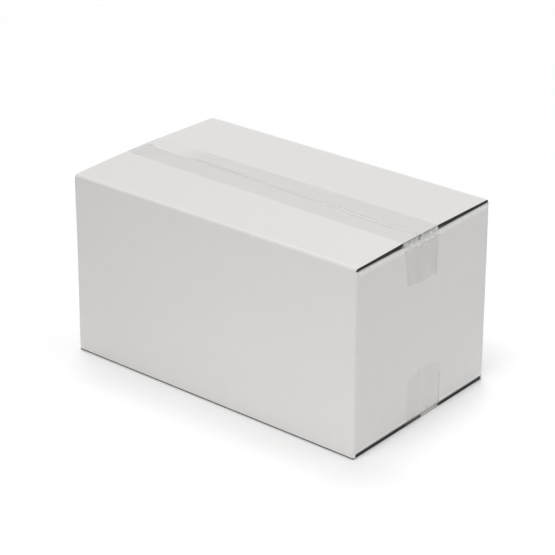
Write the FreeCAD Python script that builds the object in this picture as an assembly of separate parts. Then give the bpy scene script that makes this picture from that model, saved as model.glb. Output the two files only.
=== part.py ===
import FreeCAD, Part
import math
import os

# A closed shipping carton, folded from one sheet of corrugated board and shut with
# two strips of clear packing tape. Millimetres. The origin is the middle of the foot,
# +X runs along the length, +Y to the back and +Z up.

# Outside size of the folded board, with the height taken at the long folds
carton_length = 340.0
carton_width = 200.0
carton_height = 186.0

# The board, with its two smooth paper facings
board = 3.0
facing = 0.35
flute_depth = 3.0

# Outside radii of the folds
upright_fold = 3.5
outer_flap_fold = 4.5
inner_flap_fold = 3.5

# The flaps: the outer pair is hinged on the long walls and meets in the middle, over the
# inner pair, which is hinged on the end walls
flap_setback = 1.5
layer_gap = 0.3
inner_flap_short = 2.0
slot_width = 4.0
slot_floor = 1.2

# The closed top stands a little proud of its long folds, level along the seam
crown = 1.5
crown_bend = 300.0
level_margin = 5.0

# The seams where the outer flaps meet, by their distance behind the middle
seam_gap = 1.2
top_seam_left = -2.0
top_seam_right = -7.0
bottom_seam_left = 1.0
bottom_seam_right = 2.0

# The glued lap that closes the sleeve of walls at the rear left corner
lap_width = 35.0
lap_taper = 12.0
lap_clearance = 1.5
glue_line = 0.2

# The clear tape, and where its middle lies behind the middle of the carton
tape_width = 50.8
tape_film = 0.05
tape_ease = 0.3
top_tape_left = -3.5
top_tape_right = -4.7
top_tape_right_end = 1.2
top_tail = 46.0
bottom_tape_left = 3.0
bottom_tape_right = 3.9
bottom_tail = 46.0

# Room that a cutting shape is given beyond what it cuts
spare = 1.0

X = FreeCAD.Vector(1, 0, 0)
Y = FreeCAD.Vector(0, 1, 0)
Z = FreeCAD.Vector(0, 0, 1)

half_length = carton_length / 2
half_width = carton_width / 2
core = board - 2 * facing

# Levels, from the floor up
foot = tape_film
top = foot + carton_height
crown_top = top + crown
inner_foot = foot + board + layer_gap
inner_top = top - board - layer_gap
slot_low = inner_foot + slot_floor
slot_high = inner_top - slot_floor

# Reaches along the length and the width
flap_end = half_length - flap_setback
flap_depth = half_width - inner_flap_short
inner_side = half_width - slot_width
lap_face = half_width - board - glue_line
lap_side = lap_face - slot_width
top_tape_middle = (top_tape_left + top_tape_right) / 2
level_half = tape_width / 2 + level_margin


def unit(start, end):
    """Direction from one point of a plane to another."""
    along = (end[0] - start[0], end[1] - start[1])
    size = math.hypot(along[0], along[1])
    return (along[0] / size, along[1] / size)


def shifted(point, direction, distance):
    """The point moved a distance along a direction."""
    return (point[0] + direction[0] * distance, point[1] + direction[1] * distance)


def left_of(direction):
    """The direction a quarter turn to the left."""
    return (-direction[1], direction[0])


def bend(before, corner, after, radius, inset):
    """Start, middle and end of a left bend, on the line that lies inset to its left."""
    arriving = unit(before, corner)
    leaving = unit(corner, after)
    turn = math.atan2(arriving[0] * leaving[1] - arriving[1] * leaving[0],
                      arriving[0] * leaving[0] + arriving[1] * leaving[1])
    run = radius * math.tan(turn / 2)
    first = shifted(corner, arriving, -run)
    last = shifted(corner, leaving, run)
    centre = shifted(first, left_of(arriving), radius)
    middle = shifted(centre, unit(centre, corner), radius - inset)
    return shifted(first, left_of(arriving), inset), middle, shifted(last, left_of(leaving), inset)


def folded_line(plane, points, radii, inset):
    """Edges of a line folded at its inner points, inset to the left, and its two ends."""
    start = shifted(points[0], left_of(unit(points[0], points[1])), inset)
    end = shifted(points[-1], left_of(unit(points[-2], points[-1])), inset)
    edges = []
    here = start
    for index, radius in enumerate(radii, start=1):
        first, middle, last = bend(points[index - 1], points[index], points[index + 1], radius, inset)
        edges.append(straight(plane, here, first))
        edges.append(Part.Arc(place(plane, first), place(plane, middle), place(plane, last)).toShape())
        here = last
    edges.append(straight(plane, here, end))
    return edges, start, end


def place(plane, point):
    """A point of a plane in space; the plane is its two directions."""
    return plane[0] * point[0] + plane[1] * point[1]


def straight(plane, start, end):
    """Straight edge between two points of a plane."""
    return Part.makeLine(place(plane, start), place(plane, end))


def swept(wire, direction, low, high):
    """Solid between two levels along a direction, with the wire as its outline."""
    face = Part.Face(wire)
    face.translate(direction * low)
    return face.extrude(direction * (high - low))


def folded_sheet(plane, direction, points, radii, thickness, low, high):
    """Sheet whose outside follows a folded line, with its thickness to the left."""
    outside, start, end = folded_line(plane, points, radii, 0.0)
    inside, inner_start, inner_end = folded_line(plane, points, radii, thickness)
    caps = [straight(plane, start, inner_start), straight(plane, end, inner_end)]
    wire = Part.Wire(Part.__sortEdges__(outside + inside + caps))
    return swept(wire, direction, low, high)


def folded_prism(plane, direction, points, radii, inset, low, high):
    """Solid inside a closed folded line, moved in by the inset."""
    edges = folded_line(plane, points, radii, inset)[0]
    return swept(Part.Wire(Part.__sortEdges__(edges)), direction, low, high)


def folded_band(plane, direction, points, radii, outer_inset, inner_inset, low, high):
    """Closed band between two insets of the same folded line."""
    outer = folded_prism(plane, direction, points, radii, outer_inset, low, high)
    inner = folded_prism(plane, direction, points, radii, inner_inset, low - spare, high + spare)
    return outer.cut(inner)


def block(x_range, y_range, z_range):
    """Box between the limits given along each axis."""
    size = [limits[1] - limits[0] for limits in (x_range, y_range, z_range)]
    return Part.makeBox(size[0], size[1], size[2], FreeCAD.Vector(x_range[0], y_range[0], z_range[0]))


def outlined(plane, direction, points, low, high):
    """Solid between two levels, with straight sides through the points."""
    corners = [place(plane, point) for point in points]
    return swept(Part.makePolygon(corners + corners[:1]), direction, low, high)


def long_section():
    """Outside of the long walls and outer flaps, seen along the length."""
    level_left = top_tape_middle - level_half
    level_right = top_tape_middle + level_half
    points = [(0.0, foot), (half_width, foot), (half_width, top), (level_right, crown_top),
              (level_left, crown_top), (-half_width, top), (-half_width, foot), (0.0, foot)]
    radii = [outer_flap_fold, outer_flap_fold, crown_bend, crown_bend, outer_flap_fold, outer_flap_fold]
    return points, radii


def open_flutes(side):
    """The flute that is cut open along the outer flaps' ends, as far as the slots reach."""
    points, radii = long_section()
    reach = sorted((side * (flap_end - flute_depth), side * (flap_end + spare)))
    groove = folded_band((Y, Z), X, points, radii, facing, facing + core, reach[0], reach[1])
    walls = block((reach[0] - spare, reach[1] + spare), (-half_width, half_width), (slot_low, slot_high))
    return groove.cut(walls)


def seam(left, right, low, high):
    """Cutter for the gap between two outer flaps, which may run a little askew."""
    reach = half_length + spare
    half_gap = seam_gap / 2
    near = [(-reach, left - half_gap), (reach, right - half_gap)]
    far = [(reach, right + half_gap), (-reach, left + half_gap)]
    return outlined((X, Y), Z, near + far, low, high)


def rounded_footprint():
    """Plan of the folded walls: three rounded corners, and the square one at the lap."""
    points = [(-half_length, 0.0), (-half_length, -half_width), (half_length, -half_width),
              (half_length, half_width), (0.0, half_width)]
    edges, start, end = folded_line((X, Y), points, [upright_fold] * 3, 0.0)
    lap_corner = (-half_length, half_width)
    edges.append(straight((X, Y), end, lap_corner))
    edges.append(straight((X, Y), lap_corner, start))
    return swept(Part.Wire(Part.__sortEdges__(edges)), Z, foot - spare, crown_top + spare)


def long_walls():
    """Front and back walls with the outer flaps, closed over the top and the bottom."""
    points, radii = long_section()
    walls = folded_band((Y, Z), X, points, radii, 0.0, board, -flap_end, flap_end)
    walls = walls.cut([open_flutes(-1), open_flutes(1),
                       seam(top_seam_left, top_seam_right, inner_top + layer_gap / 2, crown_top + spare),
                       seam(bottom_seam_left, bottom_seam_right, foot - spare, inner_foot - layer_gap / 2)])
    return walls.common(rounded_footprint())


def end_wall(side, near, far):
    """One end wall between its slots, with its two inner flaps turned in."""
    free_edge = half_length - flap_depth
    points = [(free_edge, inner_foot), (half_length, inner_foot)]
    points += [(half_length, inner_top), (free_edge, inner_top)]
    if side < 0:
        points = [(-x, z) for x, z in reversed(points)]
    return folded_sheet((X, Z), Y, points, [inner_flap_fold] * 2, board, near, far)


def fold_room(side, near, far):
    """Cutters that clear the upright sleeve where an end wall turns into its flaps."""
    reach = sorted((side * (half_length - board - spare), side * (half_length + spare)))
    upper = block(reach, (near, far), (inner_top - inner_flap_fold, slot_high + spare))
    lower = block(reach, (near, far), (slot_low - spare, inner_foot + inner_flap_fold))
    return [upper, lower]


def lap_trim():
    """Cutters that slant the top and bottom of the glued lap, clear of the inner flaps."""
    fold_side = -half_length + upright_fold
    tip = -half_length + lap_width + spare
    reach = (half_width - 2 * board - glue_line - spare, half_width - board - glue_line / 2)
    trims = []
    for start, way in ((inner_top - board - lap_clearance, 1), (inner_foot + board + lap_clearance, -1)):
        outside = start + way * (inner_flap_fold + board)
        points = [(fold_side, start), (tip, start - way * lap_taper), (tip, outside), (fold_side, outside)]
        trims.append(outlined((X, Z), Y, points, reach[0], reach[1]))
    return trims


def upright_sleeve():
    """The upright walls round their folds, from the glued lap to the rear right corner."""
    points = [(-half_length + lap_width, lap_face), (-half_length, lap_face), (-half_length, -half_width),
              (half_length, -half_width), (half_length, half_width), (half_length - lap_width, half_width)]
    sleeve = folded_sheet((X, Y), Z, points, [upright_fold] * 4, board, slot_low, slot_high)
    return sleeve.cut(fold_room(-1, -inner_side, lap_side) + fold_room(1, -inner_side, inner_side) + lap_trim())


def glue():
    """The line of glue between the lap and the back wall."""
    start = -half_length + upright_fold + lap_clearance
    end = -half_length + lap_width - lap_clearance
    low = inner_foot + board + lap_clearance + lap_taper
    high = inner_top - board - lap_clearance - lap_taper
    return block((start, end), (lap_face, lap_face + glue_line), (low, high))


def carton():
    """The whole folded sheet."""
    ends = [end_wall(-1, -inner_side, lap_side), end_wall(1, -inner_side, inner_side)]
    return long_walls().fuse(ends + [upright_sleeve(), glue()]).removeSplitter()


def film_path(level, fold_level, tail, way):
    """Outside of a tape that lies at a level and turns over the ends of the outer flaps.

    Each tail spans from the flap's cut edge to the rounded fold of the end wall, and then
    lies on that wall. The way is 1 over the top and -1 under the bottom."""
    centre = half_length - inner_flap_fold
    drop = abs(level - fold_level) + inner_flap_fold
    over = flap_end + tape_ease - centre
    lean = math.atan2(drop, over) - math.acos(inner_flap_fold / math.hypot(drop, over))
    film_radius = inner_flap_fold + tape_film
    turn_down = (half_length + tape_film, fold_level - way * (inner_flap_fold - film_radius * math.tan(lean / 2)))
    surface = level + way * tape_film
    rise = abs(surface - turn_down[1])
    turn_over = (turn_down[0] - rise * math.tan(lean), surface)
    end = (half_length + tape_film, level - way * tail)
    half = [end, turn_down, turn_over]
    points = half + [(-x, z) for x, z in reversed(half)]
    radii = [film_radius, tape_ease + tape_film, tape_ease + tape_film, film_radius]
    if way < 0:
        points = [(-x, z) for x, z in points]
    return points, radii


def tape_strip(level, fold_level, tail, way, middles):
    """A tape cut to its width. Its middles are those at the left end, the right end and the right tail's end."""
    points, radii = film_path(level, fold_level, tail, way)
    film = folded_sheet((X, Z), Y, points, radii, tape_film, -half_width, half_width)
    left, right, right_end = middles
    half = tape_width / 2
    reach = half_length + spare
    split = level - way * (abs(level - fold_level) + inner_flap_fold)
    beyond = level + way * spare
    tail_end = level - way * (tail + spare)
    over = [(-reach, left - half), (reach, right - half), (reach, right + half), (-reach, left + half)]
    lying = outlined((X, Y), Z, over, min(split, beyond), max(split, beyond))
    down = [(right - half, split), (right + half, split)]
    down += [(right_end + half, tail_end), (right_end - half, tail_end)]
    right_tail = outlined((Y, Z), X, down, 0.0, reach)
    left_tail = block((-reach, 0.0), (left - half, left + half), sorted((split, tail_end)))
    return film.common(lying.fuse([right_tail, left_tail])).removeSplitter()


def top_tape():
    """The tape along the top seam."""
    return tape_strip(crown_top, inner_top, top_tail, 1, (top_tape_left, top_tape_right, top_tape_right_end))


def bottom_tape():
    """The tape along the bottom seam."""
    return tape_strip(foot, inner_foot, bottom_tail, -1, (bottom_tape_left, bottom_tape_right, bottom_tape_right))


os.makedirs("parts", exist_ok=True)
for name, make in (("carton", carton), ("top_tape", top_tape), ("bottom_tape", bottom_tape)):
    shape = make()
    solids = shape.Solids
    if len(solids) == 1:
        shape = solids[0]
    shape.exportStep("parts/" + name + ".step")
    box = shape.BoundBox
    print(name, "solids", len(solids), "valid", shape.isValid(), "volume cm3", round(shape.Volume / 1000, 2),
          "x", round(box.XMin, 2), round(box.XMax, 2), "y", round(box.YMin, 2), round(box.YMax, 2),
          "z", round(box.ZMin, 2), round(box.ZMax, 2))
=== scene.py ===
# %% [markdown]
# # A white shipping carton, taped shut
# This lesson dresses a plain folded carton so that it looks like the real one: white paper facings, soft
# folds, a dark flute cut open along the flap ends, and clear tape that runs over the top and down both
# ends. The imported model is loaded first. It is the fixed frame: everything made here has to fit inside its
# box, so its box is kept for the end of the lesson.

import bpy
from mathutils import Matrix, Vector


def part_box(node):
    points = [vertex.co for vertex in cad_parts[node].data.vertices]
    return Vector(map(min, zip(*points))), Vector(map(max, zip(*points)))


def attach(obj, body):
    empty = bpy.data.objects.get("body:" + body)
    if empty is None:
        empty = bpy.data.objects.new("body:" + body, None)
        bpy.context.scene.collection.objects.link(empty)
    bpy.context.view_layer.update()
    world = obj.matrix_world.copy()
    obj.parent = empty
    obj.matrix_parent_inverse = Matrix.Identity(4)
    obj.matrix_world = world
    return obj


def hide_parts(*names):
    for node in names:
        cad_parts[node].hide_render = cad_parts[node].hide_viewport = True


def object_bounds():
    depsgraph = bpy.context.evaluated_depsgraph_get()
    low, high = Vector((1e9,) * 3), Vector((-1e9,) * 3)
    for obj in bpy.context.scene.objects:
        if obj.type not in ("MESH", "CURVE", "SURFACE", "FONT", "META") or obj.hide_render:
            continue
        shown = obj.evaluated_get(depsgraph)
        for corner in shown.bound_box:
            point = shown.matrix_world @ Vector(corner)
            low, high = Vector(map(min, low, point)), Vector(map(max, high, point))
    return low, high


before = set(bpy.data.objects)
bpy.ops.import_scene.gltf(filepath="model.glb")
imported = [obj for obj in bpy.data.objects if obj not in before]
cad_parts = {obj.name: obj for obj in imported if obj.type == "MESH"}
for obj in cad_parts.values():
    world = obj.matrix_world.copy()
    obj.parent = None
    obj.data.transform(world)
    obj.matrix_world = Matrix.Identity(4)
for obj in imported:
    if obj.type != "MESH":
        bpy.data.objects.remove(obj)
cad_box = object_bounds()
print("nodes in the frame:", ", ".join(sorted(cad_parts)))

# %% [markdown]
# ## Sizes
# A carton maker thinks in millimetres and Blender works in metres. The meshes are worked out in millimetres
# and scaled once, when a mesh is made. The outside size is read from the frame, so it can't drift away from
# the model. The board and the film are a maker's usual values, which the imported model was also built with.
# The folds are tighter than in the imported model, as they look in the photo.

# %% Sizes of the carton, in millimetres
import math

import bmesh
import bpy
import numpy as np
from mathutils import Matrix, Vector

MM = 0.001
carton_low, carton_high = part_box("carton")
half_length = carton_high.x / MM
half_width = carton_high.y / MM
foot = carton_low.z / MM
crown_top = carton_high.z / MM

board = 3.0
facing = 0.35
layer_gap = 0.3
glue_line = 0.2
upright_fold = 2.2
outer_fold = 2.6
foot_fold = 1.6
inner_fold = 3.5
crown = 1.5
crown_bend = 300.0
inner_flap_depth = 98.0
lap_width = 35.0

top = crown_top - crown
inner_foot = foot + board + layer_gap
inner_top = top - board - layer_gap
lap_face = half_width - board - glue_line
outside = (2 * half_length, 2 * half_width, crown_top - foot)
print("carton", " by ".join(str(round(size, 1)) for size in outside), "mm")

# %% [markdown]
# ## Soft unevenness
# Nothing folded from board is quite flat. Hills that are too random look like crumpled paper, so each field
# here is the sum of a few long sine waves that cross at chosen angles. A seed fixes the angles, so every
# run gives the same carton. The field stays between about -1 and 1.

# %% A gentle field of hills
def drift(a, b, wavelength, seed, waves=5):
    """Smooth hills over two coordinates, about -1 to 1, of roughly the wavelength given."""
    random = np.random.default_rng(seed)
    total = 0.0
    for turn, phase, stretch in zip(random.uniform(0, math.pi, waves), random.uniform(0, 2 * math.pi, waves),
                                    random.uniform(0.7, 1.6, waves)):
        along = (a * math.cos(turn) + b * math.sin(turn)) * 2 * math.pi / (wavelength * stretch)
        total = total + np.sin(along + phase)
    return total / (0.7 * waves)


print("hills at three points:", np.round(drift(np.array([0.0, 40.0, 90.0]), 0.0, 80.0, 3), 2))

# %% [markdown]
# Handling pulls the walls in a little: the left end leans in by two millimetres or so at the top, and by
# nearly three at its front corner, which shows along its upright fold. The folds themselves wander by a
# tenth or two. One function does this for every piece, board and film alike, so that the film stays on the
# board. It only ever moves a point inwards, because the box of the model is the limit.

# %% What handling does to the shape
left_bow = 0.6
left_lean = 1.8
front_corner_lean = 1.0
lean_curve = 1.3
right_bow = 0.35
front_bow = 0.45
rear_lean = 1.3
looseness = 0.22
end_hills = 95
side_hills = 120
top_hills = 110
top_slack = 0.40
corner_dent = 0.35
dent_reach = 5.0


def settled(points):
    """The points of the folded carton, in millimetres, after some handling."""
    x, y, z = points.T
    level = np.clip((z - foot) / (crown_top - foot), 0, 1)
    belly = np.sin(math.pi * level)
    across = np.cos(math.pi * np.clip(y / half_width, -1, 1) / 2)
    along = np.cos(math.pi * np.clip(x / half_length, -1, 1) / 2)
    end_share = x / half_length
    side_share = y / half_width
    inward_x = looseness * (0.5 + 0.45 * np.clip(drift(y, z, end_hills, 11), -1, 1)) * belly
    lean = (left_lean + front_corner_lean * np.clip(-side_share, 0, 1) ** 2) * level ** lean_curve
    end_pull = np.where(x < 0, left_bow * belly + lean, right_bow * across * belly)
    inward_x = inward_x + end_pull * np.abs(end_share) ** 4
    inward_x = inward_x + np.where(x > 0, rear_lean * level ** 3 * np.clip(side_share, 0, 1) ** 2, 0.0)
    inward_y = looseness * (0.5 + 0.45 * np.clip(drift(x, z, side_hills, 12), -1, 1)) * belly
    inward_y = inward_y + front_bow * belly * along * side_share ** 2
    down = top_slack * level * (0.8 + 0.2 * np.clip(drift(x, y, top_hills, 13), -1, 1))
    moved = np.stack([x - end_share * inward_x, y - side_share * inward_y, z - down], axis=1)
    for end in (-1, 1):
        for side in (-1, 1):
            corner = np.array([end * half_length, side * half_width, top])
            off = points - corner
            weight = np.exp(-np.sum(off ** 2, axis=1) / dent_reach ** 2)
            share = corner_dent * (0.6 + 0.4 * end * side)
            moved -= weight[:, None] * np.array([end, side, 1.0]) * share * 0.5
    return moved


upper_corner = np.array([[-half_length, -half_width, top]])
print("the front left corner moves by", np.round(settled(upper_corner) - upper_corner, 2)[0], "mm")

# %% [markdown]
# ## The folded sheet
# The real carton is one sheet of board, cut and creased flat and then folded. It could be carved from a
# block, but a folded line is closer to how it is made: a few corner points, and a radius for each fold. The
# same helper draws the plan of the four walls and the section through the flaps.

# %% A line with rounded folds
fold_fade = 1.3


def straight_run(start, end, spacing):
    """Points from start to end, about the spacing apart."""
    steps = max(1, round(float(np.linalg.norm(end - start)) / spacing))
    return np.linspace(start, end, steps + 1)


def folded_runs(corners, radii, spacing, fold_steps=8):
    """The runs of a line folded at its inner corners: straight, fold, straight and so on."""
    corners = [np.array(corner, float) for corner in corners]
    runs = []
    here = corners[0]
    for before, corner, after, radius in zip(corners, corners[1:], corners[2:], radii):
        arriving = (corner - before) / np.linalg.norm(corner - before)
        leaving = (after - corner) / np.linalg.norm(after - corner)
        turn = math.atan2(arriving[0] * leaving[1] - arriving[1] * leaving[0], float(arriving @ leaving))
        inner_side = np.array([-arriving[1], arriving[0]]) * math.copysign(1, turn)
        first = corner - arriving * radius * math.tan(abs(turn) / 2)
        centre = first + inner_side * radius
        angles = np.linspace(0, abs(turn), fold_steps + 1)[:, None]
        runs.append(straight_run(here, first, spacing))
        runs.append(centre - inner_side * radius * np.cos(angles) + arriving * radius * np.sin(angles))
        here = runs[-1][-1]
    runs.append(straight_run(here, corners[-1], spacing))
    return runs


def measured(runs, start=0.0):
    """Each run with two more columns: its length along the sheet, and how near a fold it is."""
    done = []
    length = start
    for index, run in enumerate(runs):
        steps = np.linalg.norm(np.diff(run, axis=0), axis=1)
        along = length + np.concatenate([[0.0], np.cumsum(steps)])
        length = along[-1]
        nearness = np.ones(len(run))
        if index % 2 == 0:
            before = along - along[0] if index > 0 else np.full(len(run), np.inf)
            after = along[-1] - along if index < len(runs) - 1 else np.full(len(run), np.inf)
            nearness = np.exp(-np.minimum(before, after) / fold_fade)
        done.append(np.column_stack([run, along, nearness]))
    return done


def joined(runs):
    """One run out of several that share their end points."""
    return np.vstack([runs[0]] + [run[1:] for run in runs[1:]])


# %% [markdown]
# The plan starts at the tip of the glued lap, turns down the left end, runs along the front, up the right
# end and back along the rear. The outer flaps stop a little short of the ends, a quarter of the way into
# each upright fold, which is 1.4 mm from the outside.

# %% Plan of the walls
grid = 5.0
flap_share = 2
fold_steps = 8
raw_edge = half_length - upright_fold * (1 - math.sin(math.pi / 2 * flap_share / fold_steps))
plan = measured(folded_runs([(-half_length + lap_width, lap_face), (-half_length, lap_face),
                             (-half_length, -half_width), (half_length, -half_width),
                             (half_length, half_width), (-raw_edge, half_width)], [upright_fold] * 4, grid))
lap, lap_fold, left_end, left_fold, front, right_fold, right_end, rear_fold, rear = plan
print("the sheet is", round(plan[-1][-1, 2], 1), "mm long round the walls")

# %% [markdown]
# Seen along the length, the section of a long wall runs from the bottom seam, round the foot, up the wall,
# round the top fold and over to the top seam. The closed top stands a little proud of its folds, so the
# flap slopes up to the level strip under the tape. Rows are packed close beside the seams, where the flap
# edge is pressed down.

# %% Section through the outer and the inner flaps
tape_middle = -4.1
level_half = 30.4
wall_steps = 36
seam_rows = [2.2, 1.2, 0.6, 0.25, 0.0]


def with_seam_rows(run, outward):
    """The run with close rows at its seam end: the last rows if outward is 1, the first if it is -1."""
    ordered = run if outward > 0 else run[::-1]
    seam = ordered[-1]
    away = (ordered[0] - seam) / np.linalg.norm(ordered[0] - seam)
    kept = [point for point in ordered if np.linalg.norm(point - seam) > 2 * seam_rows[0]]
    close = np.array(kept + [seam + away * distance for distance in seam_rows])
    return close if outward > 0 else close[::-1]


def wall_levels(low, high):
    """Heights of the rows of a wall, with one at each inner flap's fold."""
    middle = np.linspace(inner_foot + inner_fold, inner_top - inner_fold, wall_steps)
    return np.concatenate([[low], middle, [high]])


def outer_section(level_start):
    """Rows of a long wall with its two outer flaps, as depth from the wall's face and height."""
    corners = [(half_width, foot), (0.0, foot), (0.0, top), (level_start, crown_top),
               (half_width, crown_top)]
    # the section is folded to the left when it is drawn with depth growing to the left
    mirrored = [(-depth, height) for depth, height in corners]
    runs = folded_runs(mirrored, [foot_fold, outer_fold, crown_bend], grid)
    runs = [np.column_stack([-run[:, 0], run[:, 1]]) for run in runs]
    levels = wall_levels(runs[2][0, 1], runs[2][-1, 1])
    runs[2] = np.column_stack([np.zeros(len(levels)), levels])
    runs[0] = with_seam_rows(runs[0], -1)
    runs[-1] = with_seam_rows(runs[-1], 1)
    lengths = [np.linalg.norm(np.diff(run, axis=0), axis=1).sum() for run in runs[:2]]
    runs = measured(runs, levels[0] - sum(lengths))
    crease = runs[4][0, 2]
    for index, run in enumerate(runs):
        # of the long wall's folds only the top fold gets a painted highlight, strongest where it meets the
        # flap
        run[:, 3] = np.exp(-np.abs(run[:, 2] - crease) / fold_fade) if index > 1 else 0.0
    return runs


def inner_section(levels):
    """Rows of an end wall with its two inner flaps."""
    corners = [(inner_flap_depth, inner_foot), (0.0, inner_foot), (0.0, inner_top),
               (inner_flap_depth, inner_top)]
    mirrored = [(-depth, height) for depth, height in corners]
    runs = folded_runs(mirrored, [inner_fold] * 2, 3 * grid)
    runs = [np.column_stack([-run[:, 0], run[:, 1]]) for run in runs]
    runs[2] = np.column_stack([np.zeros(len(levels)), levels])
    lengths = [np.linalg.norm(np.diff(run, axis=0), axis=1).sum() for run in runs[:2]]
    return measured(runs, levels[0] - sum(lengths))


front_section = outer_section(half_width + tape_middle - level_half)
rear_section = outer_section(half_width - tape_middle - level_half)
wall_rows = front_section[2]
end_section = inner_section(wall_rows[1:-1, 1])
print("a front panel has", len(joined(front_section)), "rows")

# %% [markdown]
# ## From lines to panels
# Each panel of the blank is a grid: the plan gives its columns and the section gives its rows. A grid is
# kept as three arrays: where each point lies, where it lay on the flat blank, and how near a fold it is.
# The flat place becomes the UV map, which the paper's finish is drawn on, so the grain follows the sheet
# round every fold.

# %% Panels of the folded sheet
seam_gap = 0.15
seam_split = 1.1
split_reach = 2.5
seam_press = 0.15
press_reach = 0.7
seam_ends = {"top": (-2.0, -10.0), "bottom": (1.0, 2.0)}
seam_turn = 60.0
upright_highlight = 0.55


def board_seam(x, which):
    """How far behind the middle the seam between two outer flaps lies."""
    left, right = seam_ends[which]
    return left + (right - left) * (x + half_length) / (2 * half_length)


def flat_place(columns, rows):
    """Where the points of a grid lay on the blank, and how near a fold they are."""
    blank = np.stack(np.broadcast_arrays(columns[None, :, 2], rows[:, None, 2]), axis=-1)
    # the nearness to a fold sets a painted highlight, weaker on the upright folds
    nearness = np.maximum(upright_highlight * columns[None, :, 3], rows[:, None, 3])
    return blank, nearness


def long_panel(columns, section, side):
    """A long wall with its outer flaps. The side is -1 in front and 1 behind."""
    rows = joined(section)
    x = np.broadcast_to(columns[None, :, 0], (len(rows), len(columns)))
    depth = np.broadcast_to(rows[:, None, 0], x.shape)
    z = np.broadcast_to(rows[:, None, 1], x.shape).copy()
    upper = z > half_width
    seam = np.where(upper, board_seam(x, "top"), board_seam(x, "bottom"))
    share = np.clip((depth - seam_turn) / (half_width - seam_turn), 0, 1)
    gap = seam_gap + seam_split * np.exp((x - half_length) / split_reach) * upper
    y = side * np.minimum(half_width - depth - share * (-side * seam - gap / 2),
                          np.abs(columns[None, :, 1]))
    press = seam_press * np.exp(-((half_width - depth) / press_reach) ** 2)
    z = z + np.where(upper, -press, press)
    blank, nearness = flat_place(columns, rows)
    return np.stack([x, y, z], axis=-1), blank, nearness


def end_panel(columns, section, end):
    """An end wall with its inner flaps. The end is -1 on the left and 1 on the right."""
    rows = joined(section)
    depth = rows[:, None, 0] + 0 * columns[None, :, 0]
    z = rows[:, None, 1] + 0 * depth
    y = columns[None, :, 1] + 0 * depth
    blank, nearness = flat_place(columns, rows)
    return np.stack([end * (half_length - depth), y, z], axis=-1), blank, nearness


def fold_panel(columns, rows):
    """The part of an upright fold between the slots."""
    x, z = np.broadcast_arrays(columns[None, :, 0], rows[:, None, 1])
    y = np.broadcast_to(columns[None, :, 1], x.shape)
    blank, nearness = flat_place(columns, rows)
    return np.stack([x, y, z], axis=-1), blank, nearness


def lap_panel(columns, rows, taper=0.14):
    """The glued lap, whose top and bottom slant towards its tip."""
    places, blank, nearness = fold_panel(columns, rows)
    middle = (rows[0, 1] + rows[-1, 1]) / 2
    reach = (columns[-1, 2] - columns[:, 2]) / lap_width
    places[..., 2] = middle + (places[..., 2] - middle) * (1 - taper * reach[None, :])
    return places, blank, nearness


front_columns = joined([left_fold[-1 - flap_share:], front, right_fold[:flap_share + 1]])
rear_columns = joined([rear_fold[-1 - flap_share:], rear])
panels = [
    long_panel(front_columns, front_section, -1),
    long_panel(rear_columns, rear_section, 1),
    end_panel(left_end, end_section, -1),
    end_panel(right_end, end_section, 1),
    fold_panel(left_fold[:-flap_share], wall_rows),
    fold_panel(right_fold[flap_share:], wall_rows),
    fold_panel(rear_fold[:-flap_share], wall_rows),
    fold_panel(lap_fold, wall_rows),
    lap_panel(lap, wall_rows),
]
print(len(panels), "panels,", sum(places[..., 0].size for places, blank, nearness in panels), "points")

# %% [markdown]
# ## Thickness and the open flute
# The panels are welded into one surface and thickened inwards by the board. Solidify closes every free edge
# with a rim, and marks the rim with the next material, so the cut ends of the outer flaps can be found
# again. There the cut runs along a flute and opens it, so the rim is inset by the facing's thickness and
# pushed in. The paper of the flute slopes in from the lower facing to the upper one, as a wave does. The
# top flaps' lower facings, the bottom flaps' facings and the board just behind the cut are painted in the
# flute's grey, as painted shade. Under the tape the flap ends were pressed shut, so the groove is almost
# filled there, and under the bottom tape the flute's inside is painted white, as a painted reflection.

# %% Build, weld and thicken the sheet
white_index, rim_index, flute_and_shade_index = 0, 1, 2
open_depth = 3.2
lip_depth = 0.7
closed_depth = 0.3
slit_depth = 1.2
lip_inset = 0.03
shade_reach = 3.5
taped_reach = {"top": (-34.0, 19.5), "bottom": (2.5, 29.0)}


def mesh_object(name, points, faces):
    """A mesh object from points in millimetres."""
    mesh = bpy.data.meshes.new(name)
    mesh.from_pydata((np.asarray(points) * MM).tolist(), [], faces)
    piece = bpy.data.objects.new(name, mesh)
    bpy.context.scene.collection.objects.link(piece)
    return piece


def grid_faces(rows, columns, first=0):
    """The faces of a grid whose points are numbered row by row."""
    start = first + np.arange(rows - 1)[:, None] * columns + np.arange(columns - 1)[None, :]
    corners = np.stack([start, start + 1, start + columns + 1, start + columns], axis=-1)
    return corners.reshape(-1, 4).tolist()


def write_uv(mesh, flat, name):
    """Stores a flat place for every point, in metres, as a UV map."""
    layer = mesh.uv_layers.new(name=name)
    corners = np.empty(len(mesh.loops), int)
    mesh.loops.foreach_get("vertex_index", corners)
    layer.data.foreach_set("uv", (flat[corners] * MM).astype(np.float32).ravel())


def welded_sheet(name, grids):
    """One surface from several grids, with its UV map and its nearness to the folds."""
    points, flats, nearnesses, faces = [], [], [], []
    count = 0
    for places, blank, nearness in grids:
        rows, columns = places.shape[:2]
        points.append(places.reshape(-1, 3))
        flats.append(blank.reshape(-1, 2))
        nearnesses.append(nearness.ravel())
        faces += grid_faces(rows, columns, count)
        count += rows * columns
    piece = mesh_object(name, settled(np.vstack(points)), faces)
    write_uv(piece.data, np.vstack(flats), "blank")
    fold = piece.data.attributes.new("fold", "FLOAT", "POINT")
    fold.data.foreach_set("value", np.concatenate(nearnesses).astype(np.float32))
    bm = bmesh.new()
    bm.from_mesh(piece.data)
    bmesh.ops.remove_doubles(bm, verts=bm.verts, dist=0.02 * MM)
    bm.to_mesh(piece.data)
    bm.free()
    return piece


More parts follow.
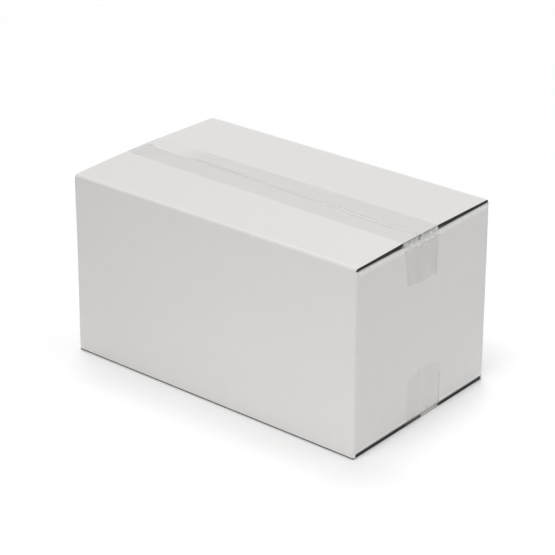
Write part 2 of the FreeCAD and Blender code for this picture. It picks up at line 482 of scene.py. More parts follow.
def thicken(piece, thickness, rim=0):
    """Gives a surface its thickness on the inner side, as plain mesh."""
    for slot in range(rim + 1):
        piece.data.materials.append(None)
    solidify = piece.modifiers.new("thickness", "SOLIDIFY")
    solidify.thickness = thickness * MM
    solidify.offset = -1
    solidify.use_quality_normals = True
    solidify.material_offset_rim = rim
    thick = bpy.data.meshes.new_from_object(piece.evaluated_get(bpy.context.evaluated_depsgraph_get()))
    piece.modifiers.clear()
    piece.data = thick


def under_tape(y, which):
    """Whether a place across a taped end lies under that tape."""
    low, high = taped_reach[which]
    return low < y < high


def flute_depth(y, z, side):
    """How far in the flute's paper lies at a point of a cut flap end."""
    which = "top" if z > half_width else "bottom"
    wander = 1 + 0.25 * drift(y, side * 40.0 + z, 14, 21)
    if under_tape(y, which) and abs(z - half_width) > 0.8 * half_width:
        return closed_depth * wander
    shallow = z < top - 0.6 if which == "top" else z < foot + board / 2
    return (lip_depth if shallow else open_depth) * wander


def slit_edge(y, z):
    """The height of a point of the groove's lower edge where the right flap ends were pressed shut."""
    from_seam = abs(y - board_seam(half_length, "top"))
    slit = 0.12 + 0.6 * drift(y, 30.0, 9, 22)
    slit = slit + 1.7 * math.exp(-((from_seam - 0.9) / 1.3) ** 2)
    opened = crown_top - facing - min(max(slit, 0.04), board - 2 * facing)
    return max(z, opened - top_slack)


def flap_end_faces(bm):
    """The rim's faces near the ends: the flaps' cut ends with the raw edge, and the ends of the slots."""
    near_end = [face for face in bm.faces if face.material_index == rim_index
                and abs(face.calc_center_median().x) > 0.98 * half_length * MM]
    cut = [face for face in near_end if abs(face.normal.x) > 0.7]
    slot_ends = [face for face in near_end if abs(face.normal.z) > 0.7
                 and abs(face.calc_center_median().z / MM - half_width) > 0.7 * half_width]
    return cut, slot_ends


def push_in(cut):
    """Pushes the flute's paper in, and closes the flute to a slit under the right tail of the top tape."""
    for point in {point for face in cut for point in face.verts}:
        side = 1 if point.co.x > 0 else -1
        y, z = point.co.y / MM, point.co.z / MM
        if side > 0 and under_tape(y, "top") and top - board < z < crown_top - board / 2:
            point.co.z = slit_edge(y, z) * MM
            point.co.x -= side * slit_depth * MM
        else:
            point.co.x -= side * flute_depth(y, z, side) * MM


def paper_flutes_and_shade(bm, inside, facings):
    """Grey paper for the flute, and the same grey as painted shade on the lower facings and the board behind.
    """
    for face in inside:
        middle = face.calc_center_median() / MM
        # under the bottom tape the flute's inside is painted white: a painted reflection of the tape over it
        pressed = middle.x > 0 and middle.z < half_width and under_tape(middle.y, "bottom")
        face.material_index = white_index if pressed else flute_and_shade_index
    # painted shade: the flute's grey on the top flaps' lower facings and on the bottom flaps' facings
    for face in facings:
        middle = face.calc_center_median() / MM
        pressed_top = middle.x > 0 and under_tape(middle.y, "top")
        pressed_foot = middle.x > 0 and under_tape(middle.y, "bottom")
        lower_top = top - board - 1 < middle.z < top - board / 2 and not pressed_top
        whole_foot = middle.z < foot + board + 1 and not pressed_foot
        if lower_top or whole_foot or middle.z < foot + board / 2:
            face.material_index = flute_and_shade_index
    # painted shade: the flute's grey on the board just behind the flap ends, at the inner folds
    for face in bm.faces:
        middle = face.calc_center_median() / MM
        if middle.x > 0 and under_tape(middle.y, "top" if middle.z > half_width else "bottom"):
            continue
        behind = raw_edge - shade_reach < abs(middle.x) < raw_edge + 0.1
        level = abs(face.normal.z) > 0.7 and abs(middle.y) < half_width - upright_fold
        below_top = inner_top - 0.6 < middle.z < inner_top + 0.1
        above_foot = inner_foot - 0.1 < middle.z < inner_foot + 1.2
        if behind and level and (below_top or above_foot):
            face.material_index = flute_and_shade_index


def open_flutes(piece):
    """Cuts the open flute into the ends of the outer flaps and the rear wall's raw edge."""
    bm = bmesh.new()
    bm.from_mesh(piece.data)
    bm.normal_update()
    cut, slot_ends = flap_end_faces(bm)
    for face in bm.faces:
        face.material_index = white_index
    facings = bmesh.ops.inset_region(bm, faces=cut, thickness=facing * MM, use_even_offset=False)["faces"]
    lips = bmesh.ops.inset_region(bm, faces=cut, thickness=lip_inset * MM, use_even_offset=False)["faces"]
    push_in(cut)
    paper_flutes_and_shade(bm, cut + lips + slot_ends, facings)
    bm.to_mesh(piece.data)
    bm.free()
    return len(cut)


def finish_mesh(piece, materials, angle=32.0):
    """Smooth shading that keeps cut edges crisp, and the piece's materials."""
    slots = piece.data.materials
    for index, material in enumerate(materials):
        if index < len(slots):
            slots[index] = material
        else:
            slots.append(material)
    piece.data.shade_smooth()
    piece.data.set_sharp_from_angle(angle=math.radians(angle))


carton_sheet = welded_sheet("folded_sheet", panels)
thicken(carton_sheet, board, rim_index)
opened = open_flutes(carton_sheet)
print("the sheet has", len(carton_sheet.data.polygons), "faces, of which", opened, "lie in an open flute")

# %% [markdown]
# ## Clear tape
# Tape is a strip of thin film that bridges what it can't reach. Its shape is a path along the carton and a
# height above it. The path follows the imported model: down one end, over the top, down the other end. The
# height holds what makes it read as tape: a crease over the seam, a step, a bubble, a few wrinkles and long
# faint ripples. The film has its own flat UV map, with its length along U, for streaks that run along the
# strip.

# %% Path of a tape round the carton
film = 0.05
tape_width = 50.8
tape_ease = 0.3
tape_lift = 0.03
film_grid = 1.25
film_fold_steps = 5
coarse_step = 0.8
fine_step = 0.35


def film_runs(level, fold_level, way, tail_left, tail_right):
    """The runs of a tape's outside in the plane of the length and the height.

    The level is that of the film's outside, the fold level that of the inner flap, and the way is 1 over
    the top and -1 under the bottom. Each tail ends at the height given."""
    over = raw_edge + tape_ease - (half_length - inner_fold)
    drop = abs(level - fold_level) + inner_fold
    lean = math.atan2(drop, over) - math.acos(inner_fold / math.hypot(drop, over))
    radius = inner_fold + film
    wall = half_length + film
    turn_down = fold_level - way * (inner_fold - radius * math.tan(lean / 2))
    turn_over = wall - abs(level - turn_down) * math.tan(lean)
    corners = [(-wall, tail_left), (-wall, turn_down), (-turn_over, level), (turn_over, level),
               (wall, turn_down), (wall, tail_right)]
    radii = [radius, tape_ease + film, tape_ease + film, radius]
    return folded_runs(corners, radii, film_grid, film_fold_steps)


def column_places(fine_low, fine_high):
    """Places across a tape, closer together where the seam's crease runs."""
    edge = tape_width / 2
    coarse_left = np.arange(-edge, fine_low, coarse_step)
    fine = np.arange(fine_low, fine_high, fine_step)
    coarse_right = np.linspace(fine_high, edge, max(2, round((edge - fine_high) / coarse_step)) + 1)
    return np.concatenate([coarse_left, fine, coarse_right])


# %% [markdown]
# The photo's tape is best read by its seam. On the left half a light line runs above a dark one: the rear
# flap stands a trace higher, and the film steps down in front of it. Past a small ring-shaped bubble the
# film lies almost flat, and over the last third it stands up in a thin bright ridge, broken once. Each of
# these is a small hill, written as a bell curve across the seam and switched on over its own stretch.
# The light line on the step, the ridge's brightness and a few small glints are painted highlights; the dark
# line in front of the step, the lines beside the ridge and the seam's line are painted shade.

# %% Relief of the top tape
crease_line = [(-170, -2.0), (-122, -4.4), (-104, -2.6), (-94, 0.6), (-81, -0.4), (-40, -1.0), (-30, -4.6),
               (20, -6.4), (59, -8.2), (76, -7.1), (85, -8.0), (95, -9.7), (111, -9.3), (126, -10.8),
               (138, -11.2), (147, -9.5), (160, -9.5), (170, -10.6)]
ring_place = (-35.0, -4.3)
ring_radius = 1.7
# places, lengths and widths of small painted glints on the film
glint_places = [(-162, -0.6, 3.0, 1.2), (-158, -25.5, 2.2, 1.0), (-94, 1.6, 3.0, 0.8)]


def between(value, start, end, soft):
    """1 between start and end, fading over the soft distance at each."""
    rising = np.clip((value - start) / soft + 0.5, 0, 1)
    falling = np.clip((end - value) / soft + 0.5, 0, 1)
    return np.minimum(rising, falling)


def bell(distance, width):
    """A hill, 1 at its middle."""
    return np.exp(-(distance / width) ** 2)


def smooth_line(x, points, soften=5.0):
    """A line through the points, rounded at its corners."""
    xs, ys = np.array(points, float).T
    offsets = np.linspace(-soften, soften, 5)
    return sum(np.interp(x + offset, xs, ys) for offset in offsets) / len(offsets)


def top_relief(x, y):
    """The top tape's height, its lift with painted highlights, and its grey cast with painted shade."""
    off_seam = y - smooth_line(x, crease_line)
    patchy = 0.8 + 0.2 * np.clip(drift(x, 0 * x, 17, 31), -1, 1)
    step = between(x, -100, -38, 8)
    ridge = np.maximum(between(x, 57, 78, 4), between(x, 83, 166, 4)) * patchy
    seam_sag_and_shade = between(x, -20, 55, 30)
    glints = sum(bell(x - glint_x, length) * bell(y - glint_y, width)
                 for glint_x, glint_y, length, width in glint_places)
    ring = np.hypot(x - ring_place[0], y - ring_place[1])
    height = 0.10 * step * bell(off_seam - 0.8, 0.9) + 0.22 * ridge * bell(off_seam, 0.8)
    height = height - 0.04 * seam_sag_and_shade * bell(off_seam, 2.0)
    height = height + 0.10 * bell(ring - ring_radius, 0.6) + 0.1 * glints
    height = height + 0.010 * drift(x * 0.25, y, 9, 32)
    # painted highlights on the ridge, on the step and at the glints, with the bubble's ring
    lifted = 1.5 * ridge * bell(off_seam, 1.15) + 0.6 * step * bell(off_seam - 1.0, 0.95)
    lifted = np.clip(lifted + 0.25 * bell(ring - ring_radius, 0.6) + glints, 0, 1)
    cast = 1 - 0.85 * between(x, -180, -112, 24) * between(off_seam, 0, 40, 2)
    # painted shade: a dark line in front of the step, lines beside the ridge, and the seam's line
    cast = cast + 1.6 * step * bell(off_seam + 0.7, 0.8) + 1.2 * ridge * bell(np.abs(off_seam) - 2.5, 0.8)
    cast = cast + 0.5 * between(x, -166, -100, 12) * bell(off_seam + 0.5, 0.9)
    cast = cast + 0.7 * seam_sag_and_shade * bell(off_seam, 1.5)
    return height, lifted, cast


# %% [markdown]
# A tail hangs flat on the end wall and shows mostly by its streaks, which run down it: strips that wetted
# the paper are greyer and strips that didn't are lighter. Each strip is two places across and two amounts,
# and a short one has two heights as well.

# %% Look of the tails
def tail_look(y, z, strips, seed, base):
    """The height, lift and cast of a tail from its strips: from, to, lift and extra cast."""
    height = 0.012 * drift(y, z * 0.4, 8, seed)
    lifted = np.zeros(y.shape)
    cast = base + 0.25 * np.clip(drift(y, z * 0.25, 16, seed + 1), -1, 1)
    for low, high, lift, extra, *span in strips:
        band = between(y, low, high, 1.4)
        if span:
            band = band * between(z, *span, 3.0)
        lifted = lifted + lift * band
        cast = cast + extra * band
        height = height + 0.05 * band * (lift > 0)
    return height, lifted, cast


top_left_tail = [(-24, -20, 0.04, -0.3), (-6, -2, 0.03, -0.3), (8, 12, 0.0, 0.3)]
top_right_tail = [(-34, 14.5, 0.0, 0.35), (14.7, 18.4, 0.10, -0.5), (18.4, 40, 0.0, -0.85)]
bottom_left_tail = [(-16, -12, 0.03, -0.3), (2, 9, 0.0, 0.3), (18, 22, 0.04, -0.3)]
bottom_right_tail = [(-21, -8.8, 0.0, 0.0), (-8, -2.2, 0.02, -0.3), (-2.2, 15.7, 0.0, 0.0),
                     (16.6, 26.5, 0.02, -0.3), (27, 30, 0.0, 1.6, -9, 38),
                     (-8.4, -5.6, 0.0, 1.3, 51.8, 54.6), (-6.5, -2.5, 0.03, 0.0, 38, 49)]
print("the right tails have", len(top_right_tail) + len(bottom_right_tail), "strips")

# %% [markdown]
# A tape is torn on the toothed blade of a dispenser, so each end is a row of small points, and no two ends
# are alike. The shape of an end is a length for each place across the strip. The film between the flap's
# cut edge and the wall is pulled over a gap, and there it wrinkles. The film is drawn thinner than it is,
# to keep it clear of the board.
# Its white over the gap is partly milky air under it and partly a painted reflection.

# %% Make a tape
tooth_pitch = 2.4
tooth_depth = 0.5
wrinkle = 0.10
deepest_sag = 0.25
way_in = 13
film_share = 0.6


def torn_end(across, bumps, seed):
    """How much longer a tail is at each place across the tape: the tear's slow shape, and its teeth."""
    xs, ys = np.array(bumps, float).T
    slow = np.interp(across, xs, ys)
    teeth = np.abs(((across + tape_width) / tooth_pitch) % 1 - 0.5) * 2
    random = np.random.default_rng(seed)
    return slow + tooth_depth * (teeth - 0.5) * (0.7 + 0.3 * random.uniform(-1, 1, len(across)))


def gap_look(y, along, from_gap, past_gap, off_seam, strain):
    """How the film bridges the gap by a flap's cut edge: its added height, and its lift and painted
    reflection.
    """
    ragged = np.clip(1.3 - past_gap / (1.9 + 0.9 * np.clip(drift(y, 0 * y, 13, 44), -1, 1)), 0, 1)
    bridge = strain * np.select([from_gap == 2, from_gap >= 3, from_gap == 1], [1.0, ragged, 0.5], 0.0)
    creases = np.clip(drift(y, 2 * along, 6.5, 42), 0, 1)
    stretched_clear = 1 - 0.9 * bell(off_seam, 2.2)
    milky_and_reflection = bridge * stretched_clear * (0.32 + 0.55 * creases ** 2)
    # a ragged white line just past the fold, painted as reflection
    hazy_reflection = ragged * (from_gap >= 3) * np.clip(0.6 + 0.6 * drift(y, along, 6, 45), 0.1, 1)
    return wrinkle * bridge * creases, np.maximum(milky_and_reflection, strain * hazy_reflection)


def tape_strip(name, runs, way, middles, shares, relief, tails, ends, fine, strain, wetness):
    """A film along its runs.

    The middles and the shares give the tape's middle line and its share of the full width at six marks: the
    left tail's end, the left end, a little way in from it, the right end, the right tail's start and its end.
    The relief is its look over or under the carton, the tails are the strips of the two tails, and the ends
    are the shapes of the two tears. The strain is how strongly the film wrinkles over the gaps, and the
    wetness is the grey cast of the tails."""
    path = measured(runs)
    across = column_places(*fine)
    rows = []
    for index, run in enumerate(path):
        keep = run if index == 0 else run[1:]
        rows.append(np.column_stack([keep, np.full(len(keep), index)]))
    rows = np.vstack(rows)
    x, z, along, run_index = rows[:, 0], rows[:, 1], rows[:, 2], rows[:, 4]
    tangent = np.gradient(rows[:, :2], axis=0)
    tangent /= np.linalg.norm(tangent, axis=1)[:, None]
    outward = way * np.column_stack([-tangent[:, 1], tangent[:, 0]])
    marks = [path[0][0, 2], path[2][0, 2], path[4][0, 2] + way_in, path[5][0, 2], path[8][0, 2],
             path[8][-1, 2]]
    middle_line = np.interp(along, marks, middles)
    y = middle_line[:, None] + np.interp(along, marks, shares)[:, None] * across[None, :]
    x_grid = np.repeat(x[:, None], len(across), axis=1)
    z_grid = np.repeat(z[:, None], len(across), axis=1)
    over = ((run_index >= 2) & (run_index <= 6))[:, None]
    left = (x < 0)[:, None]
    flat_look = relief(x_grid, y)
    left_look = tail_look(y, z_grid, tails[0], 41, wetness)
    right_look = tail_look(y, z_grid, tails[1], 43, wetness)
    height, lifted, cast = (np.where(over, one, np.where(left, two, three))
                            for one, two, three in zip(flat_look, left_look, right_look))
    from_gap = np.abs(run_index - 4)[:, None]
    past_gap = np.where(x < 0, path[1][-1, 2] - along, along - path[7][0, 2])[:, None]
    off_seam = y - board_seam(x_grid, "top" if way > 0 else "bottom")
    # the strain also sets how much painted reflection the film takes over the gaps
    puckered, milky_and_reflection = gap_look(y, along[:, None], from_gap, past_gap, off_seam, strain)
    height = np.maximum(height + puckered, -deepest_sag) + tape_lift
    lifted = np.maximum(lifted, milky_and_reflection)
    first_share = np.clip((path[0][-1, 2] - along) / (path[0][-1, 2] - path[0][0, 2]), 0, 1)
    last_share = np.clip((along - path[-1][0, 2]) / (path[-1][-1, 2] - path[-1][0, 2]), 0, 1)
    longer = first_share[:, None] * ends[0][None, :] + last_share[:, None] * ends[1][None, :]
    z_grid = z_grid - way * longer
    places = np.stack([x_grid + outward[:, :1] * height, y, z_grid + outward[:, 1:] * height], axis=-1)
    faces = grid_faces(*places.shape[:2])
    if way > 0:
        faces = [face[::-1] for face in faces]
    low, high = (np.array(corner) / MM for corner in cad_box)
    piece = mesh_object(name, np.clip(settled(places.reshape(-1, 3)), low, high), faces)
    flat = np.stack(np.broadcast_arrays(along[:, None], across[None, :]), axis=-1)
    write_uv(piece.data, flat.reshape(-1, 2), "strip")
    # the lift holds painted highlights and the grey cast painted shade, for the film's finish
    for title, values in (("lifted", lifted), ("cast", cast)):
        layer = piece.data.attributes.new(title, "FLOAT", "POINT")
        layer.data.foreach_set("value", np.clip(values, 0, 4).astype(np.float32).ravel())
    thicken(piece, film * film_share)
    print(name, "has", len(piece.data.polygons), "faces")
    return piece


top_fine = (-7.5, 6.5)
top_across = column_places(*top_fine)
top_ends = (torn_end(top_across, [(-26, 0), (-8, 1.5), (9, -1.0), (26, 2.0)], 51),
            torn_end(top_across, [(-26, -3.4), (-23, -2.2), (-2, 1.2), (9, -0.6), (15, 0.2), (26, 4.6)], 52))
top_tape = tape_strip("top_tape_film", film_runs(crown_top + film, inner_top, 1, 140.8, 141.2), 1,
                      (-3.5, -2.2, -4.2, -7.4, -6.3, 0.3), (1.0, 0.85, 0.93, 1.02, 1.0, 1.04), top_relief,
                      (top_left_tail, top_right_tail), top_ends, top_fine, 1.0, 0.85)


# %% [markdown]
# The bottom tape is the same strip turned over. It is seen from outside only by its two tails. The right
# one has an arched tear, a small bubble near the top and long vertical streaks where it didn't wet the
# paper.

# %% The bottom tape
def bottom_relief(x, y):
    """The bottom tape's height, lift and cast."""
    off_seam = y - board_seam(x, "bottom")
    return -0.03 * bell(off_seam, 1.5), 0.2 * bell(off_seam, 0.8), 1.0 + 0 * x


bottom_fine = (-3.0, 0.0)
bottom_across = column_places(*bottom_fine)
bottom_ends = (torn_end(bottom_across, [(-26, -1.0), (0, 1.0), (12, 0.0), (26, 1.5)], 53),
               torn_end(bottom_across, [(-26, -6.0), (-23, -0.5), (-10, 5.0), (2, 5.6), (16, 4.6), (23, 2.0),
                                        (26, -2.5)], 54))
bottom_tape = tape_strip("bottom_tape_film", film_runs(foot - film, inner_foot, -1, 46.0, 47.0), -1,
                         (3.0, 3.0, 3.0, 3.2, 3.2, 3.0), (1.0, 1.0, 1.0, 1.0, 1.0, 1.02), bottom_relief,
                         (bottom_left_tail, bottom_right_tail), bottom_ends, bottom_fine, 0.15, 0.48)

# %% [markdown]
# ## Shader maths as plain expressions
# A finish is a small sum: mostly paper, a little cloudiness, a trace of grain. Written as nodes it is hard
# to read, so a socket is wrapped in a class that adds a Math node for each operator. Any other node comes
# from one method, which takes the node's type, its settings and its inputs.

# %% Nodes that can be added up
class Wire:
    """An output of a node, to be used in sums."""

    def __init__(self, recipe, socket):
        self.recipe = recipe
        self.socket = socket

    def maths(self, operation, first, second):
        return self.recipe.node("ShaderNodeMath", {"operation": operation}, {0: first, 1: second})

    def __add__(self, other):
        return self.maths("ADD", self, other)

    __radd__ = __add__

    def __mul__(self, other):
        return self.maths("MULTIPLY", self, other)

    __rmul__ = __mul__

    def __sub__(self, other):
        return self.maths("SUBTRACT", self, other)

    def __rsub__(self, other):
        return self.maths("SUBTRACT", other, self)


class Recipe:
    """A material or world whose nodes are being put together."""

    def __init__(self, name, tree=None):
        self.material = None
        if tree is None:
            self.material = bpy.data.materials.new(name)
            self.material.use_nodes = True
            tree = self.material.node_tree
        self.tree = tree
        self.tree.nodes.clear()

    def node(self, kind, settings=None, inputs=None, output=0):
        """Adds a node, with its settings first, then its inputs as values or wires, and gives one output."""
        made = self.tree.nodes.new(kind)
        for key, value in (settings or {}).items():
            if key == "stops":
                ramp = made.color_ramp
                while len(ramp.elements) < len(value):
                    ramp.elements.new(1.0)
                for element, (position, shade) in zip(ramp.elements, value):
                    element.position = position
                    element.color = (shade, shade, shade, 1.0)
            else:
                setattr(made, key, value)
        for key, value in (inputs or {}).items():
            if isinstance(value, Wire):
                self.tree.links.new(value.socket, made.inputs[key])
            else:
                made.inputs[key].default_value = value
        return Wire(self, made.outputs[output])

    def surface(self, shader):
        """Sends a shader to the surface."""
        end = self.tree.nodes.new("ShaderNodeOutputMaterial")
        self.tree.links.new(shader.socket, end.inputs["Surface"])
        return self.material


def mixed(recipe, factor, first, second):
    """One colour turning into another."""
    return recipe.node("ShaderNodeMix", {"data_type": "RGBA"}, {"Factor": factor, 6: first, 7: second}, 2)


def ramped(recipe, value, stops):
    """A value bent through a ramp of greys."""
    return recipe.node("ShaderNodeValToRGB", {"stops": stops}, {"Fac": value})


def noise(recipe, place, scale, detail=2.0, roughness=0.5):
    """Soft noise, about 0.5 on average. The scale is in hills to the metre."""
    return recipe.node("ShaderNodeTexNoise", {}, {"Vector": place, "Scale": scale, "Detail": detail,
                                                  "Roughness": roughness})


def stretched(recipe, place, scale):
    """The same place with its axes scaled."""
    return recipe.node("ShaderNodeMapping", {}, {"Vector": place, "Scale": scale})


# %% [markdown]
# ## White paper facing
# The facing is bleached paper, a little warm, with a few things to see up close. Formation is the cloudy
# unevenness of the pulp, about a centimetre across. Fibre is the fine grain. Washboarding is the ghost of
# the flutes: lines one flute apart, which run up the walls and across the outer flaps. Most folds carry a
# painted highlight, broken into patches and weaker on the upright folds. The walls are painted a trace
# lighter towards the foot, and painted light along the sheet lightens the front towards its right end, and
# the right end and the rear less. All are faint: the board is nearly plain from a step away. Only the
# bottom crease is dark: painted shade where the carton meets the table.

# %% Finish of the white board
flute_pitch = 6.4
wall_span = 0.2
paper_light = (0.806, 0.790, 0.779, 1.0)
paper_dark = (0.706, 0.688, 0.672, 1.0)
fold_highlight_colour = (0.900, 0.890, 0.882, 1.0)
foot_shade_span = 0.01
# ramps of the painted light up the walls and along the sheet, and of the painted shade at the bottom crease
foot_light_stops = [(0.0, 1.0), (0.065, 0.92), (0.23, 0.52), (0.42, 0.28), (0.655, 0.12), (0.915, 0.0),
               (0.955, 0.28)]
side_light_stops = [(0.22, 0.0), (0.56, 1.0), (0.60, 0.9), (0.78, 0.5)]
foot_shade_stops = [(0.15, 0.0), (0.35, 1.0), (0.64, 1.0), (0.70, 0.0)]


def white_board():
    recipe = Recipe("white_board")
    place = recipe.node("ShaderNodeUVMap", {"uv_map": "blank"})
    formation = noise(recipe, place, 85, 4, 0.62)
    fibre = noise(recipe, stretched(recipe, place, (1.0, 0.4, 1.0)), 1900, 3, 0.6)
    around = recipe.node("ShaderNodeSeparateXYZ", {}, {"Vector": place})
    above = recipe.node("ShaderNodeSeparateXYZ", {}, {"Vector": place}, 1)
    flutes = around * (2 * math.pi / (flute_pitch * MM))
    ripple = recipe.node("ShaderNodeMath", {"operation": "SINE"}, {0: flutes})
    fleck = ramped(recipe, noise(recipe, place, 900, 1, 0.5), [(0.76, 0.0), (0.82, 1.0)])
    fold = recipe.node("ShaderNodeAttribute", {"attribute_name": "fold"}, {}, "Fac")
    # painted highlight along the folds, broken up in patches
    highlight_patches = ramped(recipe, noise(recipe, place, 260, 3, 0.6), [(0.25, 0.0), (0.55, 1.0)])
    painted_fold_highlight = ramped(recipe, fold, [(0.56, 0.0), (0.9, 1.0)]) * highlight_patches
    cloud = ramped(recipe, formation, [(0.3, 0.0), (0.7, 1.0)])
    tone = 0.10 * cloud + 0.16 * (fibre - 0.3) + 0.012 * ripple + 0.35 * fleck
    paper = mixed(recipe, tone, paper_light, paper_dark)
    paper = mixed(recipe, 0.8 * painted_fold_highlight, paper, fold_highlight_colour)
    # painted light: the walls are lighter towards the foot
    painted_foot_light = ramped(recipe, above * (1 / wall_span), foot_light_stops)
    # painted light along the sheet: lighter across the front towards its right end, less on the right end and
    # rear
    painted_side_light = ramped(recipe, around, side_light_stops)
    # painted shade along the bottom crease, where the carton meets the table
    painted_foot_shade = ramped(recipe, 0.5 + above * (1 / foot_shade_span), foot_shade_stops)
    # the painted light and the painted shade at the foot scale the paper's colour
    painted_light_and_shade_scale = (0.94 + 0.125 * painted_foot_light + 0.05 * painted_side_light) * (1.0 - 0.95 * painted_foot_shade)
    paper = recipe.node("ShaderNodeVectorMath", {"operation": "SCALE"}, {0: paper, "Scale": painted_light_and_shade_scale})
    height = 0.020 * ripple + 0.050 * formation + 0.045 * fibre + 0.05 * painted_fold_highlight
    bump = recipe.node("ShaderNodeBump", {}, {"Strength": 0.55, "Distance": MM, "Height": height})
    shader = recipe.node("ShaderNodeBsdfPrincipled", {}, {
        "Base Color": paper, "Roughness": 0.66 + 0.16 * fibre + 0.06 * cloud, "Specular IOR Level": 0.35,
        "Normal": bump})
    return recipe.surface(shader)


# %% [markdown]
# The flute inside is grey reclaimed paper, drawn darker than it is, as painted shade in the deep groove.
# It is seen only as a dark line, so a rough grey with a coarse fibre does.

# %% Finish of the flute's paper
def flute_and_shade_paper():
    recipe = Recipe("flute_and_shade_paper")
    place = recipe.node("ShaderNodeTexCoord", {}, {}, "Object")
    fibre = noise(recipe, place, 1400, 3, 0.6)
    # the grey is darker than the paper is: painted shade of the groove
    shade = mixed(recipe, fibre, (0.03, 0.029, 0.027, 1.0), (0.15, 0.147, 0.140, 1.0))
    bump = recipe.node("ShaderNodeBump", {}, {"Strength": 0.5, "Distance": MM, "Height": 0.1 * fibre})
    shader = recipe.node("ShaderNodeBsdfPrincipled", {}, {
        "Base Color": shade, "Roughness": 0.9, "Normal": bump})
    return recipe.surface(shader)


# %% [markdown]
# ## Clear film
# Clear tape on white board shows only by what it takes away: where it has wetted the paper it is a thin
# grey glaze, and where it is lifted the air under it turns it milky. So the film is a pale colour with a
# low alpha. The alpha and the colour follow how far the film is lifted, which was stored on the mesh, and
# long streaks.
# The stored lift also carries painted highlights and a painted reflection, and the stored grey cast also
# carries painted shade.

# %% Finish of the tape
def clear_film():
    recipe = Recipe("clear_tape")
    place = recipe.node("ShaderNodeUVMap", {"uv_map": "strip"})
    lifted = recipe.node("ShaderNodeAttribute", {"attribute_name": "lifted"}, {}, "Fac")
    streaks = noise(recipe, stretched(recipe, place, (18.0, 330.0, 1.0)), 1.0, 3, 0.6)
    patches = noise(recipe, stretched(recipe, place, (1.0, 2.2, 1.0)), 55, 3, 0.55)
    dry = ramped(recipe, patches, [(0.55, 0.0), (0.72, 1.0)])
    cast = recipe.node("ShaderNodeAttribute", {"attribute_name": "cast"}, {}, "Fac")
    # white where the stored lift is high: milky air, painted highlights and painted reflection
    colour = mixed(recipe, ramped(recipe, lifted, [(0.0, 0.0), (0.25, 1.0)]),
                   (0.42, 0.41, 0.39, 1.0), (0.97, 0.97, 0.965, 1.0))
    alpha = cast * (0.042 + 0.03 * (streaks - 0.5) - 0.012 * dry) + 0.8 * lifted
    bump = recipe.node("ShaderNodeBump", {}, {"Strength": 0.4, "Distance": MM,
                                              "Height": 0.05 * streaks + 0.05 * patches})
    shader = recipe.node("ShaderNodeBsdfPrincipled", {}, {
        "Base Color": colour, "Roughness": 0.16 + 0.12 * patches, "Alpha": alpha, "IOR": 1.5,
        "Normal": bump})
    return recipe.surface(shader)


board_finish = white_board()
flute_and_shade_finish = flute_and_shade_paper()
film_finish = clear_film()
finish_mesh(carton_sheet, [board_finish, board_finish, flute_and_shade_finish])
finish_mesh(top_tape, [film_finish], 60.0)
finish_mesh(bottom_tape, [film_finish], 60.0)
print("finishes:", ", ".join(material.name for material in (board_finish, flute_and_shade_finish, film_finish)))

# %% [markdown]
# ## What stands for what
# Each piece rides on the carton's one body, and the plain solid that it stands for is hidden.

# %% Tie the pieces to the frame
for piece, node, slot in ((carton_sheet, "carton", "white_board"), (top_tape, "top_tape", "clear_tape"),
                          (bottom_tape, "bottom_tape", "clear_tape")):
    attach(piece, "root")
    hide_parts(node)


# %% [markdown]
# ## Floor, light and camera
# The carton stands on a white table. The floor has to look white and still keep the carton's shadow, so it
# is a diffuse white, with a little of its own light that only the camera sees. The rest is a soft white
# surround and three high lamps, which set the shadow at the foot, with two weak fills for the right end and
# the foot.

# %% The floor
floor_glow = 0.163


def white_floor():
    recipe = Recipe("white_floor")
    seen = recipe.node("ShaderNodeLightPath", {}, {}, "Is Camera Ray")
    table = recipe.node("ShaderNodeBsdfDiffuse", {}, {"Color": (0.86, 0.86, 0.86, 1.0)})
    glow = recipe.node("ShaderNodeEmission", {}, {
        "Color": (1.0, 1.0, 1.0, 1.0), "Strength": floor_glow * seen})
    return recipe.surface(recipe.node("ShaderNodeAddShader", {}, {0: table, 1: glow}))


bpy.ops.mesh.primitive_circle_add(vertices=96, radius=9.0, fill_type="NGON", location=(0, 0, 0))
floor = bpy.context.object
floor.name = "table"
floor.data.materials.append(white_floor())

# %% The light
surround = 0.28
high_lamps = [("back_left", 135, 0.878), ("front", 270, 1.023), ("back_right", 45, 0.349)]
high_angle = 72.0
high_spread = 24.0


def white_world():
    world = bpy.data.worlds.new("studio")
    bpy.context.scene.world = world
    world.use_nodes = True
    recipe = Recipe("studio", world.node_tree)
    seen = recipe.node("ShaderNodeLightPath", {}, {}, "Is Camera Ray")
    strength = surround + (1.0 - surround) * seen
    shade = recipe.node("ShaderNodeBackground", {}, {"Color": (1.0, 1.0, 1.0, 1.0), "Strength": strength})
    end = recipe.tree.nodes.new("ShaderNodeOutputWorld")
    recipe.tree.links.new(shade.socket, end.inputs["Surface"])


def aimed(place, target):
    """The turn that points a lamp or camera from one place at another."""
    return (Vector(target) - Vector(place)).to_track_quat("-Z", "Y").to_euler()


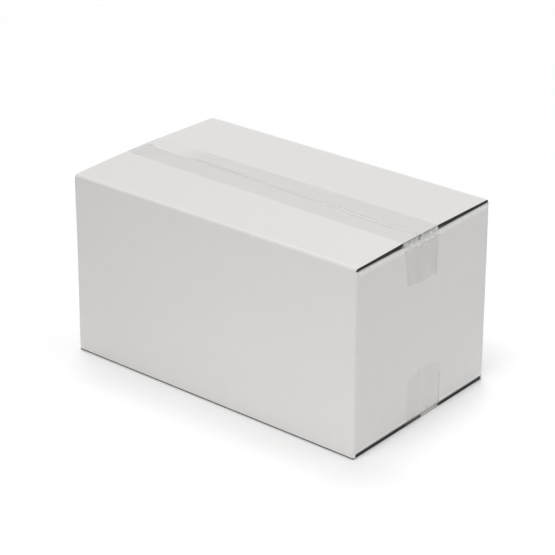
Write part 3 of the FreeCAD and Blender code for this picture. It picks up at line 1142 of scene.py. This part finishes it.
def lamp(name, kind, place, target, power, **settings):
    data = bpy.data.lights.new(name, kind)
    data.energy = power
    for key, value in settings.items():
        setattr(data, key, value)
    made = bpy.data.objects.new(name, data)
    made.location = place
    made.rotation_euler = aimed(place, target)
    bpy.context.scene.collection.objects.link(made)
    return made


middle = Vector((0.0, 0.0, half_width * MM))
white_world()
for name, turn, power in high_lamps:
    turn, tilt = math.radians(turn), math.radians(high_angle)
    way = Vector((math.cos(turn) * math.cos(tilt), math.sin(turn) * math.cos(tilt), math.sin(tilt)))
    lamp("high_" + name, "SUN", middle + way, middle, power, angle=math.radians(high_spread))
lamp("end_fill", "AREA", (1.0, 0.3, 0.2), middle, 0.91, shape="DISK", size=0.26)
lamp("foot_fill", "AREA", (0.15, -0.62, 0.06), (0.1, -0.1, 0.03), 0.47, shape="RECTANGLE", size=0.6,
     size_y=0.1)
print("lamps:", ", ".join(sorted(light.name for light in bpy.data.lights)))

# %% [markdown]
# The camera was found by fitting the carton's nine visible edges to the photo: a long lens, about two
# metres away, turned 40 degrees round the carton and 25 degrees up.

# %% The camera
picture = 555.0
focal_pixels = 2007.5
azimuth = math.radians(39.655)
elevation = math.radians(25.001)
distance = 1.9045
aim_level = 0.093
nudge_right = 0.00040
nudge_up = 0.00067

right = Vector((math.cos(azimuth), math.sin(azimuth), 0.0))
back = Vector((math.sin(azimuth) * math.cos(elevation), -math.cos(azimuth) * math.cos(elevation),
               math.sin(elevation)))
up = back.cross(right)
camera_data = bpy.data.cameras.new("camera")
camera_data.sensor_width = 36.0
camera_data.lens = camera_data.sensor_width * focal_pixels / picture
camera = bpy.data.objects.new("camera", camera_data)
place = Vector((0.0, 0.0, aim_level)) - right * nudge_right - up * nudge_up + back * distance
camera.matrix_world = Matrix.Translation(place) @ Matrix((right, up, back)).transposed().to_4x4()
bpy.context.scene.collection.objects.link(camera)
bpy.context.scene.camera = camera
bpy.context.scene.view_settings.view_transform = "Standard"
print("lens", round(camera_data.lens, 1), "mm, camera at", [round(value, 3) for value in camera.location])

# %% Print the model's box and finish
print("cad box", [[round(value / MM, 2) for value in corner] for corner in cad_box])
